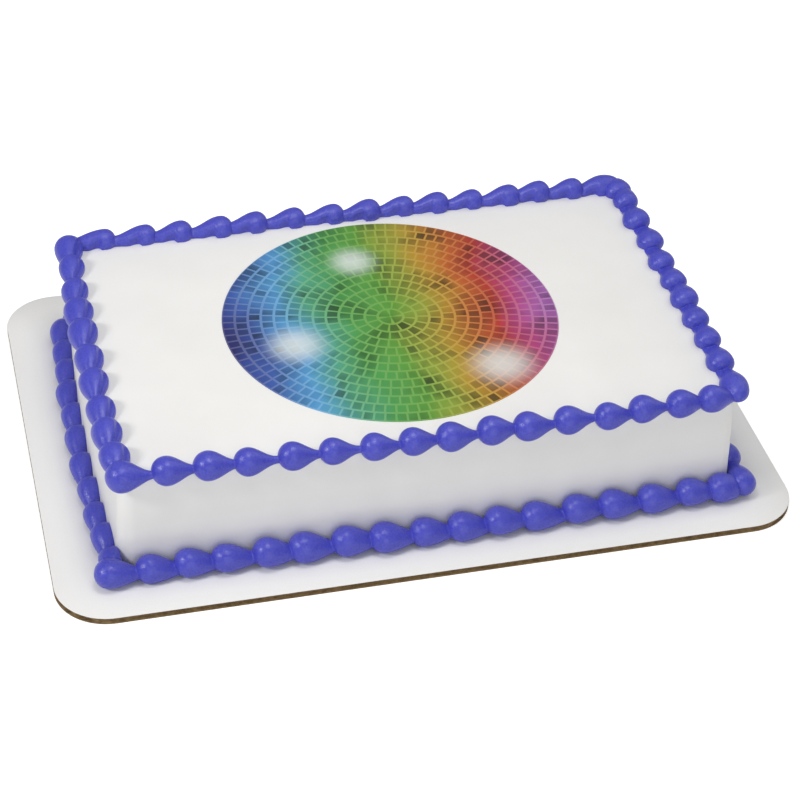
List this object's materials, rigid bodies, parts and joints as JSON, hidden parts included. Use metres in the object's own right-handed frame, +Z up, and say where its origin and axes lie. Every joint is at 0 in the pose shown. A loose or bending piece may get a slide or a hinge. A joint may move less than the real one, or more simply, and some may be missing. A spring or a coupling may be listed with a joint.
{
  "type": "rectangular celebration sheet cake",
  "caption": "Iced rectangular celebration cake with a round printed sheet on top and piped bead borders, resting on a white corrugated cake board.",
  "frame": {"origin": "centre of the board's underside, on the surface that the cake stands on", "axes": "+X along the board's long side to the right, +Y along the short side to the back, +Z up"},
  "size_m": [0.3556, 0.254, 0.0669],
  "materials": {
    "white_liner": "white coated liner board, satin",
    "kraft_flutes": "brown corrugated medium, cut edge, matt",
    "kraft_liner": "brown kraft liner board, matt",
    "white_icing": "smooth spread buttercream, soft satin with fine grain",
    "violet_icing": "piped buttercream, soft sheen, slightly translucent",
    "printed_sheet": "thin edible sheet with a printed rainbow mosaic, satin"
  },
  "bodies": {
    "root": {"board_bottom_liner": "kraft_liner", "board_flutes": "kraft_flutes", "board_top_liner": "white_liner", "iced_cake": "white_icing", "print_sheet": "printed_sheet", "top_border_front": "violet_icing", "top_border_right": "violet_icing", "top_border_back": "violet_icing", "top_border_left": "violet_icing", "bottom_border_front": "violet_icing", "bottom_border_right": "violet_icing", "bottom_border_back": "violet_icing", "bottom_border_left": "violet_icing"}
  },
  "joints": []
}
